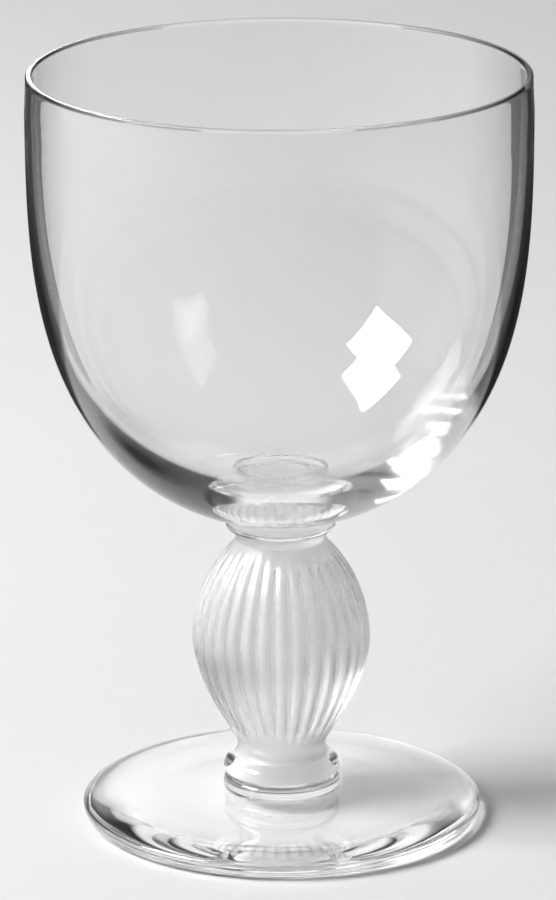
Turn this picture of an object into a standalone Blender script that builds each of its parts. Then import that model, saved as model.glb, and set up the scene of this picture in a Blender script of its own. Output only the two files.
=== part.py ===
"""Burgundy glass in clear crystal, with a frosted, ribbed stem.

Five pieces stand in a stack on the Z axis: foot, lower collar, stem, upper
collar and bowl. Each is turned round that axis, and each seats on the piece
below it across a thin seam, where the glass is fused hot. Nothing moves.
Lengths are in metres, and the origin is the middle of the foot's underside.
"""

import math

import bpy

# Seams and facets
SEAM = 0.0003  # gap at each fused joint
TURN_STEPS = 48  # facets round a plain turned piece
RIB_FACETS = 4  # facets across one rib with its flute
CURVE_STEPS = 5  # facets along a short rounded stretch
BELLY_STEPS = 9  # facets along each half of the stem
BOWL_STEPS = 20  # facets from the bottom of the bowl to its widest level
WELD = 0.00001  # points closer than this are one point
CREASE = math.radians(50)  # edges turned more sharply than this stay crisp

# Finishes
CLEAR = (0.93, 0.94, 0.94)
FROSTED = (0.86, 0.87, 0.87)
POLISHED = 0.02  # roughness of fire-polished crystal
SATIN = 0.45  # roughness of acid-frosted crystal

# Foot
FOOT_RADIUS = 0.0392
FOOT_THICKNESS = 0.0055
FOOT_REST_WIDTH = 0.0060  # flat ring that touches the table
FOOT_HOLLOW = 0.0006  # rise of the underside towards its middle
FOOT_EDGE_SLOPE = 0.0130  # width over which the top slopes down to the edge
FOOT_HUB_HEIGHT = 0.0029  # hub above the foot's flat top
FOOT_HUB_RADIUS = 0.0115  # hub at its widest level
FOOT_HUB_WIDEST_HEIGHT = 0.0009  # that level above the foot's flat top
FOOT_HUB_BASE_RADIUS = 0.0110  # hub where it leaves the foot's top

# Lower collar
WAIST_RADIUS = 0.0100  # joint of the foot's hub and the lower collar
LOWER_COLLAR_RADIUS = 0.0114
LOWER_COLLAR_HEIGHT = 0.0037
LOWER_COLLAR_BULGE_HEIGHT = 0.0012  # widest level above the waist joint

# Stem
STEM_HEIGHT = 0.0463
STEM_NECK_RADIUS = 0.0086
STEM_NECK_HEIGHT = 0.00185  # narrowest level above the stem's lower end
STEM_NECK_CURVE = 0.0030  # radius of the hollow round the neck
STEM_BELLY_RADIUS = 0.0174
STEM_BELLY_HEIGHT = 0.02345  # widest level above the stem's lower end
STEM_HIP_DROP = 0.00715  # from the belly down to where the hip's tangents cross
STEM_SHOULDER_RISE = 0.0114  # from the belly up to where the shoulder's tangents cross
STEM_THROAT_RADIUS = 0.0087
STEM_THROAT_DROP = 0.0024  # from the stem's upper end down to its throat
STEM_TOP_RADIUS = 0.0105  # joint of the stem and the upper collar
RIB_COUNT = 32
RIB_DEPTH = 0.0005  # flute floor below the ridges
RIB_LOWER_BAND = 0.0036  # plain length below the ribs
RIB_UPPER_BAND = 0.0029  # plain length above the ribs
RIB_FADE = 0.0040  # length in which a flute reaches its full depth

# Upper collar
UPPER_COLLAR_RADIUS = 0.0108
UPPER_COLLAR_HEIGHT = 0.0010  # on the axis, from the stem to the bowl
UPPER_COLLAR_BULGE_HEIGHT = 0.00055  # widest level above the stem joint
UPPER_COLLAR_SEAT_RADIUS = 0.0107  # rim of the dish that takes the bowl

# Bowl
BOWL_HEIGHT = 0.0889
BOWL_RADIUS = 0.0486  # outside, at the widest level
BOWL_WIDEST_DROP = 0.0072  # widest level below the lip
BOWL_LIP_RADIUS = 0.0483  # outside, at the lip
BOWL_WALL = 0.00125  # at the widest level and the lip
BOWL_BOTTOM = 0.00635  # glass on the axis
BOWL_FLATNESS = 2.0  # outside: 2 is round under the middle, and more is flatter
BOWL_FULLNESS = 3.1  # outside: 2 is an ellipse's side, and more is fuller
BOWL_INNER_FLATNESS = 2.2  # inside, likewise
BOWL_INNER_FULLNESS = 2.95  # inside, likewise


def bend(start, corner, end, steps):
    """Curve from start to end whose end tangents cross at corner."""
    points = []
    for step in range(steps + 1):
        t = step / steps
        shares = ((1 - t) ** 2, 2 * t * (1 - t), t**2)
        radius = sum(share * point[0] for share, point in zip(shares, (start, corner, end)))
        height = sum(share * point[1] for share, point in zip(shares, (start, corner, end)))
        points.append((radius, height))
    return points


def oval(centre, across, up, first, last, steps):
    """Arc of an ellipse, or of a circle where both half widths are the same.

    It runs from the angle first to the angle last, measured from the radial direction.
    """
    points = []
    for step in range(steps + 1):
        angle = first + (last - first) * step / steps
        points.append((centre[0] + across * math.cos(angle), centre[1] + up * math.sin(angle)))
    return points


def joined(*stretches):
    """One outline from stretches that follow each other, with no point twice."""
    outline = []
    for point in (point for stretch in stretches for point in stretch):
        if not outline or math.dist(point, outline[-1]) > WELD:
            outline.append(point)
    return outline


def crystal(name, colour, roughness):
    """Principled glass of a colour and a roughness."""
    material = bpy.data.materials.new(name)
    material.use_nodes = True
    shader = material.node_tree.nodes["Principled BSDF"]
    shader.inputs["Base Color"].default_value = (*colour, 1.0)
    shader.inputs["Roughness"].default_value = roughness
    shader.inputs["Metallic"].default_value = 0.0
    shader.inputs["Transmission Weight"].default_value = 1.0
    return material


def turned_mesh(name, outline, steps):
    """Mesh of an outline of (radius, height) points, turned once round Z.

    The outline runs from the axis, down the outer side, and back to the axis.
    """
    profile = bpy.data.meshes.new(name)
    points = [(radius, 0.0, height) for radius, height in outline]
    profile.from_pydata(points, [(i, i + 1) for i in range(len(points) - 1)], [])
    lathe = bpy.data.objects.new(name, profile)
    bpy.context.scene.collection.objects.link(lathe)
    screw = lathe.modifiers.new("Turn", "SCREW")
    screw.axis = "Z"
    screw.steps = steps
    screw.render_steps = steps
    screw.use_merge_vertices = True
    screw.merge_threshold = WELD
    solid = bpy.data.meshes.new_from_object(lathe.evaluated_get(bpy.context.evaluated_depsgraph_get()))
    bpy.data.objects.remove(lathe)
    bpy.data.meshes.remove(profile)
    solid.name = name
    return solid


def placed(mesh, material, height, glass, parts):
    """Object that stands at a height on the axis, under the glass's empty."""
    mesh.shade_smooth()
    mesh.set_sharp_from_angle(angle=CREASE)
    mesh.materials.clear()
    mesh.materials.append(material)
    piece = bpy.data.objects.new(mesh.name, mesh)
    piece.location = (0.0, 0.0, height)
    piece.parent = glass
    parts.objects.link(piece)
    return piece


def foot_outline():
    """Rounded hub, flat top that slopes down to a rounded edge, rest ring and hollow underside."""
    edge_radius = FOOT_THICKNESS / 2
    edge_centre = (FOOT_RADIUS - edge_radius, edge_radius)
    hub_top = FOOT_THICKNESS + FOOT_HUB_HEIGHT
    rest_inner = edge_centre[0] - FOOT_REST_WIDTH
    hub_widest = (FOOT_HUB_RADIUS, FOOT_THICKNESS + FOOT_HUB_WIDEST_HEIGHT)
    hub_base = (FOOT_HUB_BASE_RADIUS, FOOT_THICKNESS)
    shoulder = bend((WAIST_RADIUS, hub_top), (FOOT_HUB_RADIUS, hub_top), hub_widest, CURVE_STEPS)
    undercut = bend(hub_widest, (FOOT_HUB_RADIUS, FOOT_THICKNESS), hub_base, CURVE_STEPS)
    slope_centre = (FOOT_RADIUS - FOOT_EDGE_SLOPE, edge_radius)
    slope = oval(slope_centre, FOOT_EDGE_SLOPE, edge_radius, math.pi / 2, 0.0, 2 * CURVE_STEPS)
    edge = oval(edge_centre, edge_radius, edge_radius, 0.0, -math.pi / 2, CURVE_STEPS)
    hollow = bend((rest_inner, 0.0), (rest_inner / 2, FOOT_HOLLOW), (0.0, FOOT_HOLLOW), CURVE_STEPS)
    return joined([(0.0, hub_top)], shoulder, undercut, slope, edge, hollow)


def neck_centre():
    """Centre of the hollow round the stem's neck, in the stem's own frame."""
    return (STEM_NECK_RADIUS + STEM_NECK_CURVE, STEM_NECK_HEIGHT)


def neck_end_angle():
    """Angle at which the neck's hollow reaches the stem's lower end."""
    return math.pi + math.asin(STEM_NECK_HEIGHT / STEM_NECK_CURVE)


def stem_base_radius():
    """Joint of the stem and the lower collar."""
    return neck_centre()[0] + STEM_NECK_CURVE * math.cos(neck_end_angle())


def lower_collar_outline():
    """Ring from the stem's end, round its bulge and in to the waist."""
    bulge = (LOWER_COLLAR_RADIUS, LOWER_COLLAR_BULGE_HEIGHT)
    stem_joint = (stem_base_radius(), LOWER_COLLAR_HEIGHT)
    waist_joint = (WAIST_RADIUS, 0.0)
    upper = bend(stem_joint, (LOWER_COLLAR_RADIUS, LOWER_COLLAR_HEIGHT), bulge, CURVE_STEPS)
    lower = bend(bulge, (LOWER_COLLAR_RADIUS, 0.0), waist_joint, CURVE_STEPS)
    return joined([(0.0, LOWER_COLLAR_HEIGHT)], upper, lower, [(0.0, 0.0)])


def stem_outline():
    """Flared top, shoulder, belly, hip and hollow neck, along the ridges of the ribs."""
    belly = (STEM_BELLY_RADIUS, STEM_BELLY_HEIGHT)
    top = (STEM_TOP_RADIUS, STEM_HEIGHT)
    throat = (STEM_THROAT_RADIUS, STEM_HEIGHT - STEM_THROAT_DROP)
    flare_corner = (STEM_THROAT_RADIUS, STEM_HEIGHT - STEM_THROAT_DROP / 2)
    shoulder_corner = (STEM_BELLY_RADIUS, STEM_BELLY_HEIGHT + STEM_SHOULDER_RISE)
    hip_corner = (STEM_BELLY_RADIUS, STEM_BELLY_HEIGHT - STEM_HIP_DROP)
    # The hip's lower tangent touches the neck's hollow where it starts.
    centre = neck_centre()
    reach = math.dist(hip_corner, centre)
    heading = math.atan2(hip_corner[1] - centre[1], hip_corner[0] - centre[0])
    neck_start_angle = heading + math.acos(STEM_NECK_CURVE / reach)
    neck = oval(centre, STEM_NECK_CURVE, STEM_NECK_CURVE, neck_start_angle, neck_end_angle(), CURVE_STEPS)
    flare = bend(top, flare_corner, throat, CURVE_STEPS)
    shoulder = bend(throat, shoulder_corner, belly, BELLY_STEPS)
    hip = bend(belly, hip_corner, neck[0], BELLY_STEPS)
    return joined([(0.0, STEM_HEIGHT)], flare, shoulder, hip, neck, [(0.0, 0.0)])


def fade(length):
    """Share of the full flute depth at a length from the flute's end."""
    share = min(max(length / RIB_FADE, 0.0), 1.0)
    return share * share * (3 - 2 * share)


def press_ribs(mesh):
    """Sink the flutes between the ribs into a turned stem."""
    for vertex in mesh.vertices:
        x, y, height = vertex.co
        radius = math.hypot(x, y)
        if radius < WELD:
            continue
        depth = RIB_DEPTH * fade(height - RIB_LOWER_BAND) * fade(STEM_HEIGHT - RIB_UPPER_BAND - height)
        wave = (1 - math.cos(RIB_COUNT * math.atan2(y, x))) / 2
        share = 1 - depth * wave / radius
        vertex.co = (x * share, y * share, height)


def bowl_side(radius, bottom, flatness, fullness):
    """Bowl curve from the axis at a bottom height out to its widest level."""
    widest = BOWL_HEIGHT - BOWL_WIDEST_DROP
    points = []
    for step in range(BOWL_STEPS + 1):
        angle = math.pi / 2 * step / BOWL_STEPS
        reach = math.sin(angle) ** (2 / flatness)
        depth = max(math.cos(angle), 0.0) ** (2 / fullness)
        points.append((radius * reach, widest - (widest - bottom) * depth))
    return points


def bowl_underside(radius):
    """Height of the bowl's outside at a radius, from its lowest point."""
    widest = BOWL_HEIGHT - BOWL_WIDEST_DROP
    return widest - widest * (1 - (radius / BOWL_RADIUS) ** BOWL_FLATNESS) ** (1 / BOWL_FULLNESS)


def upper_collar_outline():
    """Dish for the bowl, round bead, and in to the stem's top."""
    dish = []
    for step in range(CURVE_STEPS + 1):
        radius = UPPER_COLLAR_SEAT_RADIUS * step / CURVE_STEPS
        dish.append((radius, UPPER_COLLAR_HEIGHT + bowl_underside(radius)))
    bulge = (UPPER_COLLAR_RADIUS, UPPER_COLLAR_BULGE_HEIGHT)
    bead_top = bend(dish[-1], (UPPER_COLLAR_RADIUS, dish[-1][1]), bulge, CURVE_STEPS)
    stem_joint = (STEM_TOP_RADIUS, 0.0)
    bead_corner = (UPPER_COLLAR_RADIUS, UPPER_COLLAR_BULGE_HEIGHT / 2)
    bead_bottom = bend(bulge, bead_corner, stem_joint, CURVE_STEPS)
    return joined(dish, bead_top, bead_bottom, [(0.0, 0.0)])


def bowl_outline():
    """Inside from the bottom up, rounded lip, and outside down to the bottom."""
    lip = BOWL_WALL / 2
    lip_centre = (BOWL_LIP_RADIUS - lip, BOWL_HEIGHT - lip)
    inside = bowl_side(BOWL_RADIUS - BOWL_WALL, BOWL_BOTTOM, BOWL_INNER_FLATNESS, BOWL_INNER_FULLNESS)
    lip_round = oval(lip_centre, lip, lip, math.pi, 0.0, CURVE_STEPS + 1)
    outside = bowl_side(BOWL_RADIUS, 0.0, BOWL_FLATNESS, BOWL_FULLNESS)
    return joined(inside, lip_round, reversed(outside))


for leftover in list(bpy.data.objects):
    bpy.data.objects.remove(leftover)

parts = bpy.data.collections.new("burgundy_glass")
bpy.context.scene.collection.children.link(parts)
glass = bpy.data.objects.new("burgundy_glass", None)
parts.objects.link(glass)

# Each piece stands on the one below it, one seam higher.
lower_collar_base = FOOT_THICKNESS + FOOT_HUB_HEIGHT + SEAM
stem_base = lower_collar_base + LOWER_COLLAR_HEIGHT + SEAM
upper_collar_base = stem_base + STEM_HEIGHT + SEAM
bowl_base = upper_collar_base + UPPER_COLLAR_HEIGHT + SEAM

foot = turned_mesh("foot", foot_outline(), TURN_STEPS)
placed(foot, crystal("foot_crystal", CLEAR, POLISHED), 0.0, glass, parts)

lower_collar = turned_mesh("lower_collar", lower_collar_outline(), TURN_STEPS)
placed(lower_collar, crystal("lower_collar_crystal", CLEAR, POLISHED), lower_collar_base, glass, parts)

stem = turned_mesh("stem", stem_outline(), RIB_COUNT * RIB_FACETS)
press_ribs(stem)
placed(stem, crystal("stem_satin_crystal", FROSTED, SATIN), stem_base, glass, parts)

upper_collar = turned_mesh("upper_collar", upper_collar_outline(), TURN_STEPS)
placed(upper_collar, crystal("upper_collar_crystal", CLEAR, POLISHED), upper_collar_base, glass, parts)

bowl = turned_mesh("bowl", bowl_outline(), TURN_STEPS)
placed(bowl, crystal("bowl_crystal", CLEAR, POLISHED), bowl_base, glass, parts)
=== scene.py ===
import math

import bpy
import numpy as np
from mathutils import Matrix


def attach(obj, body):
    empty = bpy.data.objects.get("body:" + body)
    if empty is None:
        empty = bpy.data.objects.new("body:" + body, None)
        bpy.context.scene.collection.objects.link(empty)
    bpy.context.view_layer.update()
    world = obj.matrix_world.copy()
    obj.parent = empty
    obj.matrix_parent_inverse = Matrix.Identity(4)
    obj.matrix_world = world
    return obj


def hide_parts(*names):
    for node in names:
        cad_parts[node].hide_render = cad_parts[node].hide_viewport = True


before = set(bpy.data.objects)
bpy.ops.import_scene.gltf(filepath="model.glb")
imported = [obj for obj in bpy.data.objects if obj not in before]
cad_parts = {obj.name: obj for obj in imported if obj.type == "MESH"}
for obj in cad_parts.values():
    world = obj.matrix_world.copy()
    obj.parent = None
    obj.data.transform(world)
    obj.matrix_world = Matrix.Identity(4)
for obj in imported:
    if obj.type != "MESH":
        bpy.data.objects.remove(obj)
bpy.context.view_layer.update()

# Foot: a thick round disc of clear crystal, pressed and then ground flat under its edge.
# Its edge is a full round, its underside is slightly hollow, and a low rounded hub stands
# in the middle, where the lower collar is fused on hot.
FOOT_RADIUS = 0.0392
FOOT_THICKNESS = 0.0055
FOOT_REST_WIDTH = 0.0060
FOOT_HOLLOW = 0.0006
FOOT_EDGE_SLOPE = 0.0130
HUB_HEIGHT = 0.00305
HUB_RADIUS = 0.0115
HUB_WIDEST_HEIGHT = 0.0009
HUB_BASE_RADIUS = 0.0110
WAIST_RADIUS = 0.0100
ROUND_COLUMNS = 288
SHARP_ANGLE = math.radians(40)
CLOSE = 1e-6
CRYSTAL_IOR = 1.54
CLEAR_TINT = (0.995, 0.997, 0.997)
CLEAR_WAVINESS = 0.02
WAVE_SCALE = 38.0
WAVE_HEIGHT = 0.001
HAZE_SCALE = 160.0
HAZE_ROUGHNESS = 0.004
HAZE_TONE = 0.985


def straight(start, end, count):
    """Points from start to end in even steps: start + (end - start) * t."""
    t = np.linspace(0.0, 1.0, count)[:, None]
    return np.array(start) + (np.array(end) - np.array(start)) * t


def bend(start, corner, end, count):
    """Curve whose end tangents cross at corner: (1-t)^2 start + 2t(1-t) corner + t^2 end."""
    t = np.linspace(0.0, 1.0, count)[:, None]
    return (1 - t) ** 2 * np.array(start) + 2 * t * (1 - t) * np.array(corner) + t**2 * np.array(end)


def oval(centre, across, up, first, last, count):
    """Arc of an ellipse: centre + (across cos a, up sin a), with a from first to last."""
    angle = np.linspace(first, last, count)
    return np.stack([centre[0] + across * np.cos(angle), centre[1] + up * np.sin(angle)], axis=1)


def joined(*stretches):
    """One outline of stretches that follow each other, without the points that repeat."""
    points = np.concatenate(stretches)
    steps = np.hypot(*np.diff(points, axis=0).T)
    return points[np.concatenate([[True], steps > CLOSE])]


def placed(name, data):
    """New object of a mesh, a lamp or a camera, in the scene."""
    made = bpy.data.objects.new(name, data)
    bpy.context.scene.collection.objects.link(made)
    return made


def turned(name, outline, materials, fused, swell=None, columns=ROUND_COLUMNS):
    """Closed surface of an outline of (radius, height), turned round Z.

    A point is (r cos a, r sin a, z). The outline starts and ends on the axis, with the
    solid on its right. swell(r, z, a) may change the radius. fused(r, z) gives the number
    of the material for the middle of each row.
    """
    angle = np.arange(columns) * 2 * np.pi / columns
    radius, height = outline[1:-1, :1], outline[1:-1, 1:]
    reach = radius + 0 * angle if swell is None else swell(radius, height, angle)
    rows = len(radius)
    grid = np.stack([reach * np.cos(angle), reach * np.sin(angle), height + 0 * angle], axis=2)
    ends = np.array([[0.0, 0.0, outline[0, 1]], [0.0, 0.0, outline[-1, 1]]])
    points = np.concatenate([grid.reshape(-1, 3), ends])
    here = np.arange(rows * columns).reshape(rows, columns)
    there = np.roll(here, -1, axis=1)
    first, last = np.full(columns, len(points) - 2), np.full(columns, len(points) - 1)
    quads = np.stack([here[:-1], here[1:], there[1:], there[:-1]], axis=2).reshape(-1, 4)
    caps = np.concatenate([
        np.stack([first, here[0], there[0]], axis=1),
        np.stack([here[-1], last, there[-1]], axis=1),
    ])
    corners = np.concatenate([quads.ravel(), caps.ravel()])
    starts = np.concatenate([np.arange(len(quads)) * 4, len(quads) * 4 + np.arange(len(caps)) * 3])
    mesh = bpy.data.meshes.new(name)
    mesh.vertices.add(len(points))
    mesh.vertices.foreach_set("co", points.ravel())
    mesh.loops.add(len(corners))
    mesh.loops.foreach_set("vertex_index", corners)
    mesh.polygons.add(len(starts))
    mesh.polygons.foreach_set("loop_start", starts)
    middles = (outline[1:] + outline[:-1]) / 2
    numbers = fused(*middles.T).astype(int)
    band_numbers = np.repeat(numbers[1:-1], columns)
    cap_numbers = np.repeat(numbers[[0, -1]], columns)
    mesh.polygons.foreach_set("material_index", np.concatenate([band_numbers, cap_numbers]))
    for material in materials:
        mesh.materials.append(material)
    mesh.update(calc_edges=True)
    mesh.validate()
    mesh.shade_smooth()
    mesh.set_sharp_from_angle(angle=SHARP_ANGLE)
    return placed(name, mesh)


class Wire:
    """A socket of a node tree. Arithmetic on it adds Math nodes."""

    def __init__(self, finish, socket):
        self.finish = finish
        self.socket = socket

    def math(self, operation, first, second):
        return self.finish.node("ShaderNodeMath", {"operation": operation}, {0: first, 1: second})[0]

    def __add__(self, other):
        return self.math("ADD", self, other)

    def __radd__(self, other):
        return self.math("ADD", other, self)

    def __sub__(self, other):
        return self.math("SUBTRACT", self, other)

    def __rsub__(self, other):
        return self.math("SUBTRACT", other, self)

    def __mul__(self, other):
        return self.math("MULTIPLY", self, other)

    def __rmul__(self, other):
        return self.math("MULTIPLY", other, self)

    def __truediv__(self, other):
        return self.math("DIVIDE", self, other)

    def __pow__(self, other):
        return self.math("POWER", self, other)


class Finish:
    """The nodes of a material or of the world, built up from nothing."""

    def __init__(self, holder):
        self.holder = holder
        holder.use_nodes = True
        self.tree = holder.node_tree
        self.tree.nodes.clear()

    def node(self, kind, settings, inputs):
        """Node of a kind: its settings first, then its sockets' values or links. Gives its outputs."""
        made = self.tree.nodes.new(kind)
        for key, value in settings.items():
            if key == "stops":
                while len(made.color_ramp.elements) < len(value):
                    made.color_ramp.elements.new(0.5)
                for element, (place, tone) in zip(made.color_ramp.elements, value):
                    element.position = place
                    element.color = (tone, tone, tone, 1.0)
            else:
                setattr(made, key, value)
        for key, value in inputs.items():
            socket = made.inputs[key]
            if isinstance(value, Wire):
                self.tree.links.new(value.socket, socket)
            else:
                socket.default_value = value
        return [Wire(self, socket) for socket in made.outputs if socket.enabled]

    def place(self):
        """Object coordinates, in metres."""
        return self.node("ShaderNodeTexCoord", {}, {})[3]

    def axes(self):
        """Object coordinates one by one: east, north and up."""
        return self.node("ShaderNodeSeparateXYZ", {}, {0: self.place()})

    def noise(self, scale, detail):
        """Soft noise from 0 to 1 over the object coordinates."""
        return self.node("ShaderNodeTexNoise", {}, {
            "Vector": self.place(), "Scale": scale, "Detail": detail})[0]

    def step(self, value, start, end):
        """Smooth step from 0 to 1 as a value goes from start to end."""
        return self.node("ShaderNodeMapRange", {"interpolation_type": "SMOOTHSTEP"}, {
            "Value": value, "From Min": start, "From Max": end})[0]

    def blend(self, share, first, second):
        """Colour that goes from the first to the second as a share goes from 0 to 1."""
        return self.node("ShaderNodeMix", {"data_type": "RGBA"}, {
            0: share, 6: (*first, 1.0), 7: (*second, 1.0)})[0]

    def ramp(self, share, stops):
        """Grey tone along a share, through stops of (place, tone)."""
        return self.node("ShaderNodeValToRGB", {"stops": stops}, {"Fac": share})[0]

    def done(self, shader, output="ShaderNodeOutputMaterial"):
        """Send a shader to the output, and give the material."""
        self.node(output, {}, {"Surface": shader})
        return self.holder


def polished(finish, tint, waviness, softness=0.0):
    """Shader of fire-polished crystal: slow waves left by the shaping, and a fine haze.

    Its roughness is HAZE_ROUGHNESS times the haze, plus the softness.
    """
    waves = finish.noise(WAVE_SCALE, 1.0)
    haze = finish.noise(HAZE_SCALE, 3.0)
    bump = finish.node("ShaderNodeBump", {}, {
        "Strength": waviness, "Distance": WAVE_HEIGHT, "Height": waves})[0]
    shade = finish.blend(haze, tint, [HAZE_TONE * part for part in tint])
    return finish.node("ShaderNodeBsdfPrincipled", {}, {
        "Base Color": shade, "Roughness": HAZE_ROUGHNESS * haze + softness, "IOR": CRYSTAL_IOR,
        "Transmission Weight": 1.0, "Normal": bump})[0]


def clear_crystal(name):
    """Thick clear crystal, as in the foot and the collars."""
    finish = Finish(bpy.data.materials.new(name))
    return finish.done(polished(finish, CLEAR_TINT, CLEAR_WAVINESS))


def fused_joint():
    """Hot-fused glass to glass: the joint's faces bend no light."""
    finish = Finish(bpy.data.materials.new("fused_joint"))
    return finish.done(finish.node("ShaderNodeBsdfTransparent", {}, {})[0])


joint = fused_joint()
foot_crystal = clear_crystal("foot_crystal")
edge_radius = FOOT_THICKNESS / 2
edge_centre = (FOOT_RADIUS - edge_radius, edge_radius)
slope_start = FOOT_RADIUS - FOOT_EDGE_SLOPE
hub_top = FOOT_THICKNESS + HUB_HEIGHT
hub_widest = (HUB_RADIUS, FOOT_THICKNESS + HUB_WIDEST_HEIGHT)
rest_inner = edge_centre[0] - FOOT_REST_WIDTH
foot_outline = joined(
    straight((0.0, hub_top), (WAIST_RADIUS, hub_top), 6),
    bend((WAIST_RADIUS, hub_top), (HUB_RADIUS, hub_top), hub_widest, 18),
    bend(hub_widest, (HUB_RADIUS, FOOT_THICKNESS), (HUB_BASE_RADIUS, FOOT_THICKNESS), 12),
    straight((HUB_BASE_RADIUS, FOOT_THICKNESS), (slope_start, FOOT_THICKNESS), 20),
    oval((slope_start, edge_radius), FOOT_EDGE_SLOPE, edge_radius, math.pi / 2, 0.0, 40),
    oval(edge_centre, edge_radius, edge_radius, 0.0, -math.pi / 2, 20),
    straight((edge_centre[0], 0.0), (rest_inner, 0.0), 6),
    bend((rest_inner, 0.0), (rest_inner / 2, FOOT_HOLLOW), (0.0, FOOT_HOLLOW), 24),
)
foot = turned("crystal_foot", foot_outline, [foot_crystal, joint],
              fused=lambda r, z: z > hub_top - CLOSE)
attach(foot, "root")
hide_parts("foot")

# Lower collar: a ring of clear crystal between the foot and the stem, rounded like a bead.
# It is a gather of hot glass pressed to shape and fused to the hub and to the stem, and the
# core of its joint with the hub is frosted.
LOWER_COLLAR_RADIUS = 0.0114
LOWER_COLLAR_HEIGHT = 0.0040
LOWER_COLLAR_BULGE_HEIGHT = 0.00135
LOWER_COLLAR_SHOULDER_DROP = 0.0008
STEM_NECK_RADIUS = 0.0086
STEM_NECK_HEIGHT = 0.0020
STEM_NECK_CURVE = 0.0030
SEAT_CLEARANCE = 0.00005
LOWER_SEAT_RADIUS = 0.0078
FROST = (0.945, 0.95, 0.95, 1.0)
FROST_SCALE = 220.0
FROST_THROUGH = 0.4
FROST_CLOUD = 0.2


def frosted_seat(name):
    """Frosted face inside the glass: it scatters light to both sides and looks evenly pale."""
    finish = Finish(bpy.data.materials.new(name))
    cloud = finish.noise(FROST_SCALE, 2.0)
    back = finish.node("ShaderNodeBsdfDiffuse", {}, {"Color": FROST})[0]
    through = finish.node("ShaderNodeBsdfTranslucent", {}, {"Color": FROST})[0]
    return finish.done(finish.node("ShaderNodeMixShader", {}, {
        0: FROST_THROUGH + FROST_CLOUD * cloud, 1: back, 2: through})[0])


neck_end = math.pi + math.asin(STEM_NECK_HEIGHT / STEM_NECK_CURVE)
stem_base_radius = STEM_NECK_RADIUS + STEM_NECK_CURVE + STEM_NECK_CURVE * math.cos(neck_end)
collar_base = hub_top
collar_top = collar_base + LOWER_COLLAR_HEIGHT
collar_bulge = (LOWER_COLLAR_RADIUS, collar_base + LOWER_COLLAR_BULGE_HEIGHT)
lower_collar_outline = joined(
    straight((0.0, collar_top), (stem_base_radius, collar_top), 6),
    bend((stem_base_radius, collar_top), (LOWER_COLLAR_RADIUS, collar_top - LOWER_COLLAR_SHOULDER_DROP),
         collar_bulge, 20),
    bend(collar_bulge, (LOWER_COLLAR_RADIUS, collar_base), (WAIST_RADIUS, collar_base), 20),
    straight((WAIST_RADIUS, collar_base + SEAT_CLEARANCE), (0.0, collar_base + SEAT_CLEARANCE), 30),
)
lower_collar_crystal = clear_crystal("lower_collar_crystal")
lower_seat = frosted_seat("lower_frosted_seat")


def collar_faces(radius, height):
    """Clear outside, a fused joint at both ends, and a frosted core in the middle of the base."""
    top = height > collar_top - CLOSE
    base = (height < collar_base + 2 * SEAT_CLEARANCE) & (radius < WAIST_RADIUS - SEAT_CLEARANCE)
    return top + base * (1 + (radius < LOWER_SEAT_RADIUS))


lower_collar = turned("crystal_lower_collar", lower_collar_outline,
                      [lower_collar_crystal, joint, lower_seat], fused=collar_faces)
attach(lower_collar, "root")
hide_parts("lower_collar")

# Stem: a solid baluster of crystal, pressed in a ribbed mould and then acid-frosted all over.
# Thirty-two soft ribs run up its belly and fade out into plain bands at both ends, and it is
# fused to a collar at each end, with a frosted core in the upper joint.
STEM_HEIGHT = 0.0466
STEM_BELLY_RADIUS = 0.0174
STEM_BELLY_HEIGHT = 0.0236
STEM_HIP_DROP = 0.00715
STEM_SHOULDER_RISE = 0.0114
STEM_THROAT_RADIUS = 0.0087
STEM_THROAT_HEIGHT = 0.04405
STEM_TOP_RADIUS = 0.0105
UPPER_SEAT_RADIUS = 0.0065
RIB_COUNT = 32
RIB_COLUMNS = 16
RIB_DEPTH = 0.0005
RIB_LOWER_BAND = 0.00375
RIB_UPPER_BAND = 0.0030
RIB_FADE = 0.0040
SATIN_TINT = (0.97, 0.975, 0.975)
SATIN_CLEARNESS = 0.85
SATIN_ROUGHNESS = 0.45
FLUTE_SHADE_TINT = (0.84, 0.84, 0.84)
FLUTE_SHADE_SHARE = 0.7
FLUTE_POLISH = 0.25
CLOUD_SCALE = 220.0
CLOUD_SHARE = 0.3
CLOUD_ROUGHNESS = 0.06
GRAIN_SCALE = 2600.0
GRAIN_HEIGHT = 0.0002
GRAIN_STRENGTH = 0.12
GLOSS_ROUGHNESS = 0.15
GLOSS_WEIGHT = 0.7
RIDGE_GLOSS = 0.3

stem_base = collar_top
stem_top = stem_base + STEM_HEIGHT
ribs_start = stem_base + RIB_LOWER_BAND
ribs_end = stem_top - RIB_UPPER_BAND


def fade(length):
    """Smooth step from 0 to 1 over the length in which a flute reaches its full depth."""
    share = np.clip(length / RIB_FADE, 0.0, 1.0)
    return share * share * (3 - 2 * share)


def ribbed(radius, height, angle):
    """Radius less the flute: depth times (1 - cos(count a)) / 2, faded at both ends."""
    depth = RIB_DEPTH * fade(height - ribs_start) * fade(ribs_end - height)
    return radius - depth * (1 - np.cos(RIB_COUNT * angle)) / 2


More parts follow.
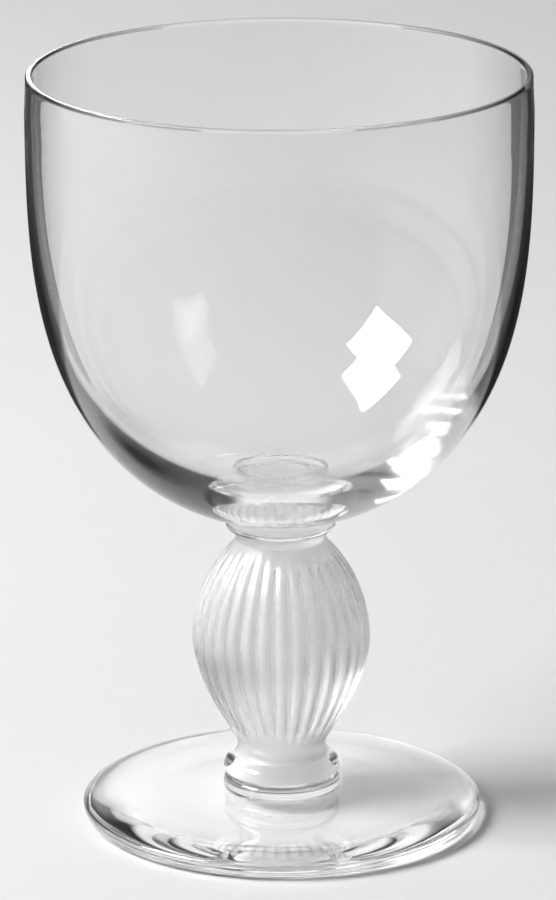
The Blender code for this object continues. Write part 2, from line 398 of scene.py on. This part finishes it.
def satin_crystal(name):
    """Acid-frosted crystal: a fine etched grain, glossier on the ridges.

    In the flutes it is smoother, and greyer with a painted shade: the flute's share is (1 - cos(count a)) /
    2, faded at both ends like its depth, and the ridge's is ((1 + cos(count a)) / 2)^2.
    """
    finish = Finish(bpy.data.materials.new(name))
    grain = finish.noise(GRAIN_SCALE, 2.0)
    cloud = finish.noise(CLOUD_SCALE, 2.0)
    bump = finish.node("ShaderNodeBump", {}, {
        "Strength": GRAIN_STRENGTH, "Distance": GRAIN_HEIGHT, "Height": grain})[0]
    east, north, up = finish.axes()
    turn = RIB_COUNT * north.math("ARCTAN2", north, east)
    wave = turn.math("COSINE", turn, 0.0)
    ribs = finish.step(up, ribs_start, ribs_start + RIB_FADE) * finish.step(up, ribs_end, ribs_end - RIB_FADE)
    ridge = ribs * (0.5 + 0.5 * wave) ** 2
    flute = ribs * (0.5 - 0.5 * wave)
    # Painted shade: the flutes' colour is made greyer, standing in for the shade in them.
    shade = finish.blend(CLOUD_SHARE * cloud + FLUTE_SHADE_SHARE * flute, SATIN_TINT, FLUTE_SHADE_TINT)
    rough = SATIN_ROUGHNESS - FLUTE_POLISH * flute + CLOUD_ROUGHNESS * (cloud - 0.5)
    glass = finish.node("ShaderNodeBsdfPrincipled", {}, {
        "Base Color": shade, "Roughness": rough, "IOR": CRYSTAL_IOR,
        "Transmission Weight": SATIN_CLEARNESS, "Coat Weight": GLOSS_WEIGHT + RIDGE_GLOSS * ridge,
        "Coat Roughness": GLOSS_ROUGHNESS, "Normal": bump})[0]
    return finish.done(glass)


neck_centre = (STEM_NECK_RADIUS + STEM_NECK_CURVE, stem_base + STEM_NECK_HEIGHT)
stem_throat = (STEM_THROAT_RADIUS, stem_base + STEM_THROAT_HEIGHT)
stem_belly = (STEM_BELLY_RADIUS, stem_base + STEM_BELLY_HEIGHT)
hip_corner = (STEM_BELLY_RADIUS, stem_belly[1] - STEM_HIP_DROP)
hip_heading = math.atan2(hip_corner[1] - neck_centre[1], hip_corner[0] - neck_centre[0])
neck_start = hip_heading + math.acos(STEM_NECK_CURVE / math.dist(hip_corner, neck_centre))
stem_neck = oval(neck_centre, STEM_NECK_CURVE, STEM_NECK_CURVE, neck_start, neck_end, 18)
stem_outline = joined(
    straight((0.0, stem_top - SEAT_CLEARANCE), (STEM_TOP_RADIUS, stem_top - SEAT_CLEARANCE), 30),
    bend((STEM_TOP_RADIUS, stem_top), (STEM_THROAT_RADIUS, (stem_throat[1] + stem_top) / 2), stem_throat, 14),
    bend(stem_throat, (STEM_BELLY_RADIUS, stem_belly[1] + STEM_SHOULDER_RISE), stem_belly, 60),
    bend(stem_belly, hip_corner, stem_neck[0], 60),
    stem_neck,
    straight((stem_base_radius, stem_base), (0.0, stem_base), 6),
)
stem_satin = satin_crystal("stem_satin_crystal")
upper_seat = frosted_seat("upper_frosted_seat")


def stem_faces(radius, height):
    """Satin outside, a fused joint at both ends, and a frosted core in the middle of the top."""
    top = (height > stem_top - 2 * SEAT_CLEARANCE) & (radius < STEM_TOP_RADIUS - SEAT_CLEARANCE)
    base = height < stem_base + CLOSE
    return base + top * (1 + (radius < UPPER_SEAT_RADIUS))


stem = turned("satin_ribbed_stem", stem_outline, [stem_satin, joint, upper_seat],
              fused=stem_faces, swell=ribbed, columns=RIB_COUNT * RIB_COLUMNS)
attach(stem, "root")
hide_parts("stem")

# Upper collar: a bead of clear crystal between the stem and the bowl.
# Its top is dished to the bowl's underside, and both its faces are fused hot.
UPPER_COLLAR_RADIUS = 0.0108
UPPER_COLLAR_HEIGHT = 0.0013
UPPER_COLLAR_BULGE_HEIGHT = 0.0007
UPPER_COLLAR_SEAT_RADIUS = 0.0107
BOWL_HEIGHT = 0.08905
BOWL_RADIUS = 0.0486
BOWL_WIDEST_DROP = 0.0072
BOWL_FLATNESS = 2.0
BOWL_FULLNESS = 3.1

upper_base = stem_top
bowl_base = upper_base + UPPER_COLLAR_HEIGHT
bowl_widest = bowl_base + BOWL_HEIGHT - BOWL_WIDEST_DROP


def bowl_side(widest_radius, bottom, flatness, fullness, first, last, count):
    """Bowl curve: r = R sin(a)^(2 / flatness), z = widest - (widest - bottom) cos(a)^(2 / fullness)."""
    angle = np.linspace(first, last, count)
    reach = np.clip(np.sin(angle), 0.0, 1.0) ** (2 / flatness)
    depth = np.clip(np.cos(angle), 0.0, 1.0) ** (2 / fullness)
    return np.stack([widest_radius * reach, bowl_widest - (bowl_widest - bottom) * depth], axis=1)


seat_angle = math.asin((UPPER_COLLAR_SEAT_RADIUS / BOWL_RADIUS) ** (BOWL_FLATNESS / 2))
seat = bowl_side(BOWL_RADIUS, bowl_base, BOWL_FLATNESS, BOWL_FULLNESS, 0.0, seat_angle, 12)
upper_bulge = (UPPER_COLLAR_RADIUS, upper_base + UPPER_COLLAR_BULGE_HEIGHT)
upper_collar_outline = joined(
    seat,
    bend(seat[-1], (UPPER_COLLAR_RADIUS, seat[-1, 1]), upper_bulge, 14),
    bend(upper_bulge, (UPPER_COLLAR_RADIUS, upper_base + UPPER_COLLAR_BULGE_HEIGHT / 2),
         (STEM_TOP_RADIUS, upper_base), 24),
    straight((STEM_TOP_RADIUS, upper_base), (0.0, upper_base), 6),
)
upper_collar_crystal = clear_crystal("upper_collar_crystal")
upper_collar = turned(
    "crystal_upper_collar", upper_collar_outline, [upper_collar_crystal, joint],
    fused=lambda r, z: (z < upper_base + CLOSE) | ((r < UPPER_COLLAR_SEAT_RADIUS) & (z > bowl_base - CLOSE)))
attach(upper_collar, "root")
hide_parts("upper_collar")

# Bowl: a deep round cup of clear crystal, blown in a mould, with a thick bottom.
# Its wall thins upwards to little over a millimetre, and the lip is fire-polished to a full round.
# It is fused to the upper collar.
BOWL_LIP_RADIUS = 0.0483
BOWL_WALL = 0.00125
BOWL_BOTTOM = 0.0065
BOWL_INNER_FLATNESS = 2.2
BOWL_INNER_FULLNESS = 2.95
BOWL_TINT = (0.955, 0.96, 0.96)
BOWL_WAVINESS = 0.003
LIP_ROUGHNESS = 0.4
LIP_PAINTED_LIGHT_SHARE = 0.6
LIP_SOFT_DROP = 0.0002
LIP_SOFT_FADE = 0.0004
BAND_ROUGHNESS = 0.035
BAND_LOWER_FADE = (0.069, 0.074)
BAND_UPPER_FADE = (0.092, 0.080)

lip_round = BOWL_WALL / 2
lip_centre = (BOWL_LIP_RADIUS - lip_round, bowl_base + BOWL_HEIGHT - lip_round)


def bowl_glass(name):
    """Thin clear crystal, with a soft lip made partly see-through as painted light, so it looks pale, and a
    slightly soft band low on the side.
    """
    finish = Finish(bpy.data.materials.new(name))
    up = finish.axes()[2]
    lip_start = lip_centre[1] - LIP_SOFT_DROP
    lip = finish.node("ShaderNodeMapRange", {}, {
        "Value": up, "From Min": lip_start, "From Max": lip_start + LIP_SOFT_FADE})[0]
    band = finish.step(up, *BAND_LOWER_FADE) * finish.step(up, *BAND_UPPER_FADE)
    softness = LIP_ROUGHNESS * lip + BAND_ROUGHNESS * band
    glass = polished(finish, BOWL_TINT, BOWL_WAVINESS, softness)
    # Painted light at the lip: part of it lets light straight through, so the lip looks paler than its glass
    # would.
    bare = finish.node("ShaderNodeBsdfTransparent", {}, {})[0]
    return finish.done(finish.node("ShaderNodeMixShader", {}, {0: LIP_PAINTED_LIGHT_SHARE * lip, 1: glass, 2: bare})[0])


bowl_outline = joined(
    bowl_side(BOWL_RADIUS - BOWL_WALL, bowl_base + BOWL_BOTTOM, BOWL_INNER_FLATNESS, BOWL_INNER_FULLNESS,
              0.0, math.pi / 2, 140),
    straight((BOWL_RADIUS - BOWL_WALL, bowl_widest), (lip_centre[0] - lip_round, lip_centre[1]), 8),
    oval(lip_centre, lip_round, lip_round, math.pi, 0.0, 24),
    straight((BOWL_LIP_RADIUS, lip_centre[1]), (BOWL_RADIUS, bowl_widest), 8),
    bowl_side(BOWL_RADIUS, bowl_base, BOWL_FLATNESS, BOWL_FULLNESS, math.pi / 2, seat_angle, 100),
    bowl_side(BOWL_RADIUS, bowl_base, BOWL_FLATNESS, BOWL_FULLNESS, seat_angle, 0.0, 12),
)
bowl_crystal = bowl_glass("bowl_crystal")
bowl = turned("crystal_bowl", bowl_outline, [bowl_crystal, joint],
              fused=lambda r, z: (r < UPPER_COLLAR_SEAT_RADIUS) & (z < bowl_base + BOWL_BOTTOM / 2))
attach(bowl, "root")
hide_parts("bowl")

# Floor: the glass stands on a wide, pale, matt board, painted paler towards the back as a painted light
# gradient that evens out the lamp's falloff, with dark cards flat on it.
# Two large cards lie behind the glass, one at each side, and a soft dark spot lies close to its left.
# They are painted dark reflections: seen only in and through the glass, they cast no shadow and draw its
# edges dark.
FLOOR_PAINTED_LIGHT_TONES = [(0.0, 0.71), (0.3, 0.79), (1.0, 0.84)]
FLOOR_DEPTH = 0.8
FLOOR_HALF = 3.0
FLOOR_CLEARANCE = 0.0001
BOARD_SCALE = 9.0
BOARD_MOTTLE = 0.06
BOARD_ROUGHNESS = 0.7
BOARD_SHEEN = 0.2
REFLECTION_CARD_TONES = [(0.42, 0.03), (0.86, 0.75)]
CARD_LIFT = 0.0002
LEFT_REFLECTION_CARD = [(-0.062, 0.05), (-0.19, 0.95), (-0.75, 0.95), (-0.75, 0.12), (-0.14, 0.03)]
RIGHT_REFLECTION_CARD = [(0.070, 0.05), (0.14, 0.03), (0.75, 0.12), (0.75, 0.95), (0.152, 0.95)]
CARD_NEAR_END = 0.10
CARD_NEAR_FADE = 0.07
SPOT_MIDDLE = (-0.082, 0.029)
SPOT_TURN = math.radians(129.6)
SPOT_HALF_LENGTH = 0.058
SPOT_HALF_WIDTH = 0.022
REFLECTION_SPOT_TONES = [(0.25, 0.08), (1.0, 0.72)]
SPOT_CORNERS = 48


def floor_share(east, north):
    """Share of the floor's depth behind the glass."""
    return north / FLOOR_DEPTH


def card_share(east, north):
    """Share of a right angle from straight behind the glass, and more close to the glass."""
    aside = east.math("ABSOLUTE", east, 0.0)
    near = east.finish.step(north, CARD_NEAR_END + CARD_NEAR_FADE, CARD_NEAR_END)
    return aside.math("ARCTAN2", aside, north) / (math.pi / 2) + near


def spot_share(east, north):
    """Share of the way from the middle of the oval spot to its edge."""
    east, north = east - SPOT_MIDDLE[0], north - SPOT_MIDDLE[1]
    along = (east * math.cos(SPOT_TURN) + north * math.sin(SPOT_TURN)) / SPOT_HALF_LENGTH
    across = (north * math.cos(SPOT_TURN) - east * math.sin(SPOT_TURN)) / SPOT_HALF_WIDTH
    return (along * along + across * across) ** 0.5


def board(name, tones, share):
    """Matt board with a faint mottle, toned along a share of its places."""
    finish = Finish(bpy.data.materials.new(name))
    mottle = BOARD_MOTTLE * (finish.noise(BOARD_SCALE, 5.0) - 0.5)
    east, north = finish.axes()[:2]
    shade = finish.ramp(share(east, north) + mottle, tones)
    shader = finish.node("ShaderNodeBsdfPrincipled", {}, {
        "Base Color": shade, "Roughness": BOARD_ROUGHNESS, "Specular IOR Level": BOARD_SHEEN})[0]
    return finish.done(shader)


def flat(name, corners, height, material):
    """One level face with the given corners."""
    mesh = bpy.data.meshes.new(name)
    mesh.from_pydata([(x, y, height) for x, y in corners], [], [range(len(corners))])
    mesh.materials.append(material)
    return placed(name, mesh)


floor_corners = [(x * FLOOR_HALF, y * FLOOR_HALF) for x, y in ((-1, -1), (1, -1), (1, 1), (-1, 1))]
# The board's painted light gradient: darker close to the glass, paler towards the back.
floor = flat("pale_floor", floor_corners, -FLOOR_CLEARANCE, board("pale_board", FLOOR_PAINTED_LIGHT_TONES, floor_share))
# Painted dark reflections: the cards are darkest straight behind the glass, and paler to the sides and close
# to it.
painted_reflection_board = board("painted_reflection_board", REFLECTION_CARD_TONES, card_share)
painted_reflection_spot_board = board("painted_reflection_spot_board", REFLECTION_SPOT_TONES, spot_share)
spot_level = oval((0.0, 0.0), SPOT_HALF_LENGTH, SPOT_HALF_WIDTH, 0.0, 2 * math.pi, SPOT_CORNERS + 1)[:-1]
spot_corners = np.array(SPOT_MIDDLE) + spot_level @ np.array([
    [math.cos(SPOT_TURN), math.sin(SPOT_TURN)], [-math.sin(SPOT_TURN), math.cos(SPOT_TURN)]])
cards = (("left_reflection_card", LEFT_REFLECTION_CARD, painted_reflection_board, 1), ("right_reflection_card", RIGHT_REFLECTION_CARD, painted_reflection_board, 1),
         ("near_reflection_spot", spot_corners, painted_reflection_spot_board, 2))
for card_name, card_corners, card_board, layer in cards:
    card = flat(card_name, card_corners, layer * CARD_LIFT - FLOOR_CLEARANCE, card_board)
    # Painted reflections only: the cards are hidden from the camera, from diffuse light and from shadows.
    card.visible_camera = False
    card.visible_diffuse = False
    card.visible_shadow = False

# Light: one oblong softbox at the left, high up and a little in front of the glass.
# The room is dim, with a faint ceiling, a pale backdrop behind the glass and a pale screen far left.
# Light may pass many walls of glass, and its highlights stay sharp.
KEY_PLACE = (-1.264, -0.27, 1.18)
KEY_WIDTH = 0.97
KEY_LENGTH = 0.66
KEY_POWER = 47.5
GLASS_MIDDLE = (0.0, 0.0, 0.07)
BOUNCES = 40
LEFT_WALL = 0.35
BACKDROP = 1.0
RIGHT_WALL = 0.01
BACKDROP_LEFT = 0.37
BACKDROP_RIGHT = 0.63
BACKDROP_FADE = 0.05
CEILING_TONES = [(0.40, 0.0), (0.95, 0.14)]
SIDE_TONES = [(BACKDROP_LEFT - BACKDROP_FADE, LEFT_WALL), (BACKDROP_LEFT, BACKDROP),
              (BACKDROP_RIGHT, BACKDROP), (BACKDROP_RIGHT + BACKDROP_FADE, RIGHT_WALL)]
SCREEN_TONES = [(0.08, 0.6), (0.13, 0.0)]
BEHIND_SHARES = [(0.0, 0.0), (0.2, 1.0)]
LOW_SHARES = [(0.40, 1.0), (0.55, 0.0)]

key = bpy.data.lights.new("softbox", "AREA")
key.shape = "RECTANGLE"
key.size = KEY_WIDTH
key.size_y = KEY_LENGTH
key.energy = KEY_POWER
softbox = placed("softbox", key)
way = np.array(GLASS_MIDDLE) - np.array(KEY_PLACE)
softbox.location = KEY_PLACE
softbox.rotation_euler = (math.atan2(math.hypot(way[0], way[1]), -way[2]), 0.0, math.atan2(-way[0], way[1]))
bpy.context.scene.cycles.blur_glossy = 0.0
bpy.context.scene.cycles.sample_clamp_indirect = 0.0
bpy.context.scene.cycles.max_bounces = BOUNCES
bpy.context.scene.cycles.transmission_bounces = BOUNCES
bpy.context.scene.cycles.glossy_bounces = BOUNCES

world = bpy.data.worlds.new("studio_room")
bpy.context.scene.world = world
room = Finish(world)
heading = room.node("ShaderNodeTexCoord", {}, {})[0]
east, north, rise = room.node("ShaderNodeSeparateXYZ", {}, {0: heading})
eastward = 0.5 + 0.5 * east
ceiling = room.ramp(rise, CEILING_TONES)
sides = room.ramp(eastward, SIDE_TONES)
screen = room.ramp(eastward, SCREEN_TONES)
behind = room.ramp(north, BEHIND_SHARES)
low = room.ramp(rise, LOW_SHARES)
glow = room.node("ShaderNodeBackground", {}, {"Color": ceiling + low * (screen + sides * behind)})[0]
room.done(glow, "ShaderNodeOutputWorld")

# Camera: a long lens in front of the glass, a little above its lip, as the picture was taken.
# It looks slightly down and is rolled by a fraction of a degree.
CAMERA_PLACE = (-0.0005, -1.0267, 0.3841)
CAMERA_DIP = math.radians(16.786)
CAMERA_ROLL = math.radians(0.23)
CAMERA_LENS = 221.3
CAMERA_SENSOR = 36.0

lens = bpy.data.cameras.new("camera")
lens.sensor_fit = "VERTICAL"
lens.sensor_height = CAMERA_SENSOR
lens.sensor_width = CAMERA_SENSOR
lens.lens = CAMERA_LENS
camera = placed("camera", lens)
camera.location = CAMERA_PLACE
camera.rotation_mode = "ZYX"
camera.rotation_euler = (math.pi / 2 - CAMERA_DIP, 0.0, -CAMERA_ROLL)
bpy.context.scene.camera = camera
bpy.context.scene.view_settings.view_transform = "Standard"
